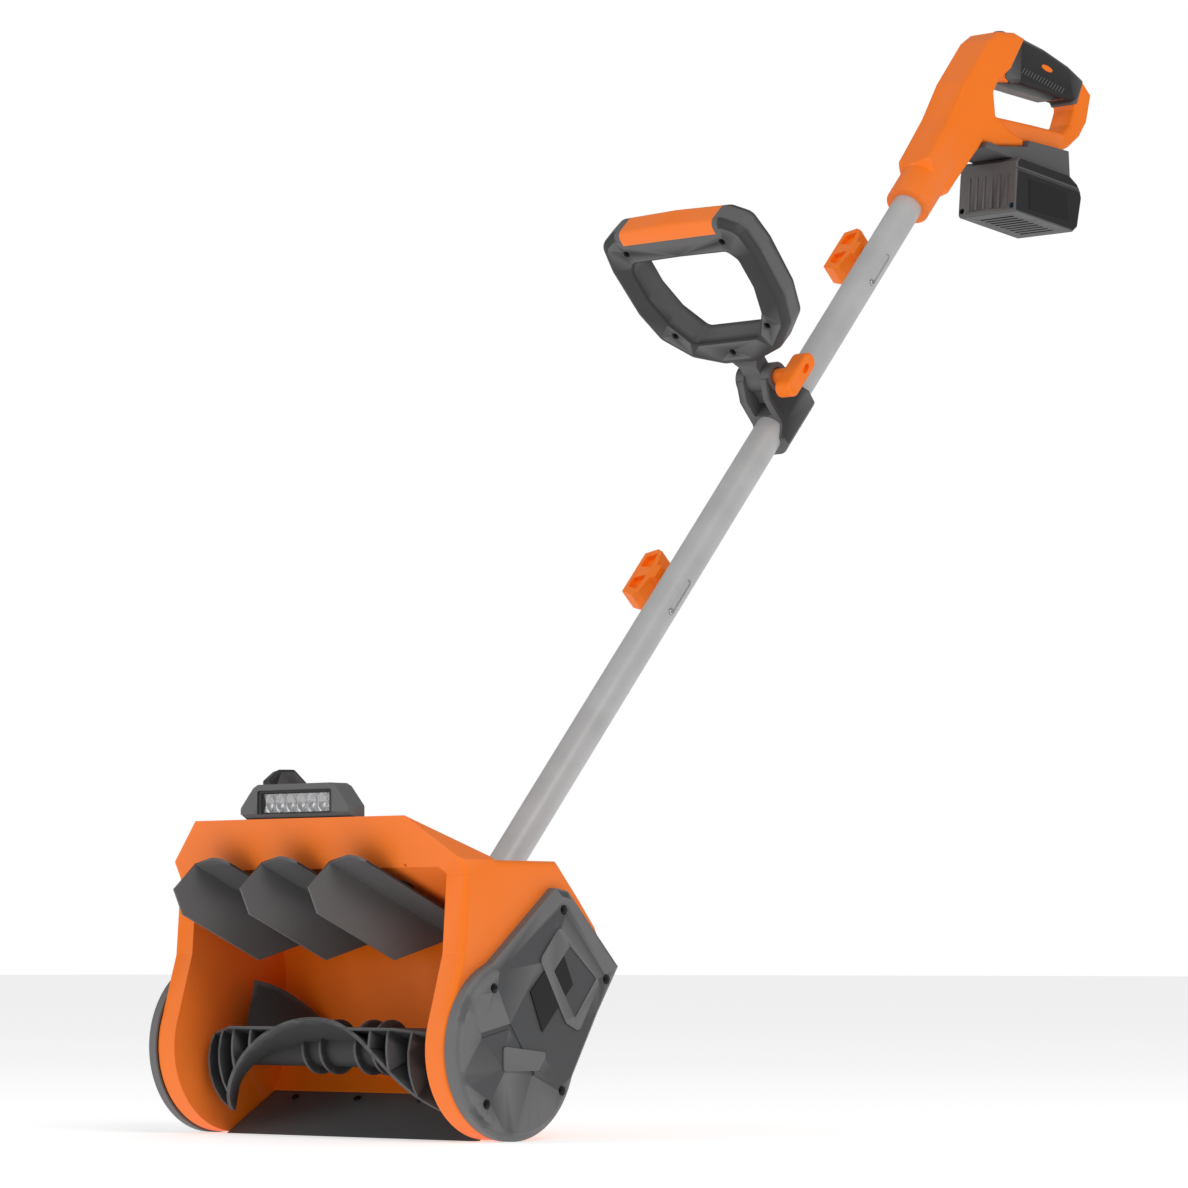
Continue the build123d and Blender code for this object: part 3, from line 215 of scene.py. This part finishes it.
def slab(name, node, corners, side, rise, bevel, material, body, sink=0.3, drop=0.0):
    """A thin plate on one side of a node: an outline in (Y, Z) from its low corner, with soft edges."""
    low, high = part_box(node)
    face_x = high.x / MM - drop
    near, far = sorted((side * (face_x - sink), side * (face_x + rise)))
    work = bmesh.new()
    points = [(near * MM, low.y + y * MM, low.z + z * MM) for y, z in corners]
    face = work.faces.new([work.verts.new(point) for point in points])
    grown = bmesh.ops.extrude_face_region(work, geom=[face])["geom"]
    moved = [item for item in grown if isinstance(item, bmesh.types.BMVert)]
    bmesh.ops.translate(work, verts=moved, vec=((far - near) * MM, 0, 0))
    bmesh.ops.recalc_face_normals(work, faces=work.faces)
    bmesh.ops.bevel(work, geom=work.edges[:], offset=bevel * MM, segments=2, affect="EDGES")
    mesh = bpy.data.meshes.new(name)
    work.to_mesh(mesh)
    work.free()
    return finish_piece(name, mesh, material, body)


def oval(y, z, half_length, half_height, tilt=0.0, count=28):
    turn = math.radians(tilt)
    points = []
    for k in range(count):
        a = 2 * math.pi * k / count
        along, up = half_length * math.cos(a), half_height * math.sin(a)
        points.append((y + along * math.cos(turn) - up * math.sin(turn),
                       z + along * math.sin(turn) + up * math.cos(turn)))
    return points


def dish_depth(x, z, middle_z):
    """How far the tray is dished at one place, deepest behind each diode."""
    centre = LED_PITCH * (round(x / LED_PITCH - 0.5) + 0.5)
    reach = math.hypot(x - centre, (z - middle_z) * DISH_SQUASH) / (LED_PITCH * 0.5)
    return DISH_DEPTH * max(0.0, 1.0 - reach * reach)


def lamp_reflector():
    """A bright tray behind the lens, dished round each of the six diodes."""
    low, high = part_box("lamp_lens")
    middle_z = (low.z + high.z) / 2
    width = high.x - low.x - 2 * TRAY_INSET
    height = high.z - low.z - 2 * TRAY_INSET
    grid = []
    for j in range(TRAY_ROWS):
        z = low.z + TRAY_INSET + height * j / (TRAY_ROWS - 1)
        for i in range(TRAY_COLUMNS):
            x = low.x + TRAY_INSET + width * i / (TRAY_COLUMNS - 1)
            grid.append((x, high.y + TRAY_GAP + dish_depth(x, z, middle_z), z))
    faces = []
    for j in range(TRAY_ROWS - 1):
        for i in range(TRAY_COLUMNS - 1):
            a = j * TRAY_COLUMNS + i
            faces.append((a, a + 1, a + TRAY_COLUMNS + 1, a + TRAY_COLUMNS))
    mesh = bpy.data.meshes.new("lamp_reflector")
    mesh.from_pydata(grid, [], faces)
    mesh.polygons.foreach_set("use_smooth", [True] * len(faces))
    finish_piece("lamp_reflector", mesh, REFLECTOR, "blower_head")


def cover_plates():
    """The blank plate set into the right side cover."""
    slab("cover_plate", "right_side_cover", PLATE_CORNERS, 1, 0.5, 0.2, GLOSS, "blower_head",
         drop=PLATE_SINK)


def grip_details():
    """Fine slanted ribs and an orange oval on each side of the soft grip."""
    for side, sign in MIDDLE_TO_SIDE:
        slab(f"grip_oval_{side}", "grip_overmould", oval(*OVAL_PLACE, *OVAL_HALF, OVAL_TILT), sign, 0.6, 0.15,
             ORANGE, "rear_unit")
        for k in range(RIB_COUNT):
            y = RIB_START[0] + RIB_PITCH * k
            z = RIB_START[1] - RIB_FALL * RIB_PITCH * k
            rib = [(y, z), (y + RIB_WIDTH, z), (y + RIB_WIDTH + RIB_LEAN, z + RIB_HEIGHT),
                   (y + RIB_LEAN, z + RIB_HEIGHT)]
            slab(f"grip_rib_{side}_{k}", "grip_overmould", rib, sign, 0.6, 0.12, GRIP, "rear_unit")


def battery_details():
    """A blank panel on each side of the pack."""
    for side, sign in MIDDLE_TO_SIDE:
        slab(f"battery_panel_{side}", "battery_case", PANEL_CORNERS, sign, 0.35, 0.15, GLOSS, "battery")


REFLECTOR = metal("lamp_silver", (0.9, 0.9, 0.92), 0.25, metallic=0.6)

lamp_reflector()
cover_plates()
grip_details()
battery_details()


# Studio ----------------------------------------------------------------------

# The even light from all round, as a share of the white backdrop
SOFT_LIGHT = 0.42
CAMERA_PLACE = (2.9907, -3.0805, 0.1582)
CAMERA_PITCH = 4.47
CAMERA_AZIMUTH = 41.204
CAMERA_LENS = 142.57


def floor():
    mesh = bpy.data.meshes.new("studio_floor")
    half = 40.0
    corners = [(-half, -half, 0), (half, -half, 0), (half, half, 0), (-half, half, 0)]
    mesh.from_pydata(corners, [], [(0, 1, 2, 3)])
    ground = bpy.data.objects.new("studio_floor", mesh)
    bpy.context.scene.collection.objects.link(ground)
    made = Shader("studio_floor", Roughness=0.6, Specular_IOR_Level=0.2, Emission_Color=(1.0, 1.0, 1.0, 1.0),
                  Emission_Strength=0.5)
    tone = made.remap(made.noise(0.6), 0.3, 0.7, 0.0, 1.0)
    made.link(made.blend(tone, (0.83, 0.83, 0.83), (0.86, 0.86, 0.86)), made.surface.inputs["Base Color"])
    mesh.materials.append(made.material)


def area_light(name, place, target, size, power):
    light = bpy.data.lights.new(name, "AREA")
    light.shape = "RECTANGLE"
    light.size, light.size_y = size
    light.energy = power
    lamp = bpy.data.objects.new(name, light)
    lamp.location = place
    lamp.rotation_euler = (Vector(target) - Vector(place)).to_track_quat("-Z", "Y").to_euler()
    bpy.context.scene.collection.objects.link(lamp)


def studio():
    world = bpy.data.worlds.new("studio")
    world.use_nodes = True
    background = world.node_tree.nodes["Background"]
    background.inputs["Color"].default_value = (1.0, 1.0, 1.0, 1.0)
    background.inputs["Strength"].default_value = SOFT_LIGHT
    backdrop = world.node_tree.nodes.new("ShaderNodeBackground")
    backdrop.inputs["Color"].default_value = (1.0, 1.0, 1.0, 1.0)
    seen = world.node_tree.nodes.new("ShaderNodeLightPath")
    choose = world.node_tree.nodes.new("ShaderNodeMixShader")
    world.node_tree.links.new(seen.outputs["Is Camera Ray"], choose.inputs[0])
    world.node_tree.links.new(background.outputs[0], choose.inputs[1])
    world.node_tree.links.new(backdrop.outputs[0], choose.inputs[2])
    world.node_tree.links.new(choose.outputs[0], world.node_tree.nodes["World Output"].inputs["Surface"])
    bpy.context.scene.world = world
    area_light("key", (3.2, -1.2, 3.0), (0, 0.4, 0.4), (2.2, 2.2), 62)
    area_light("fill", (-1.6, -3.4, 1.8), (0, 0.4, 0.5), (2.5, 2.0), 34)
    bpy.context.scene.view_settings.view_transform = "Standard"


def camera():
    data = bpy.data.cameras.new("camera")
    data.lens = CAMERA_LENS
    data.sensor_width = 36.0
    data.clip_end = 200.0
    eye = bpy.data.objects.new("camera", data)
    pitch = math.radians(CAMERA_PITCH)
    turn = math.radians(CAMERA_AZIMUTH)
    aim = Vector((-math.cos(pitch) * math.sin(turn), math.cos(pitch) * math.cos(turn), math.sin(pitch)))
    eye.location = CAMERA_PLACE
    eye.rotation_euler = aim.to_track_quat("-Z", "Y").to_euler()
    bpy.context.scene.collection.objects.link(eye)
    bpy.context.scene.camera = eye


floor()
studio()
camera()
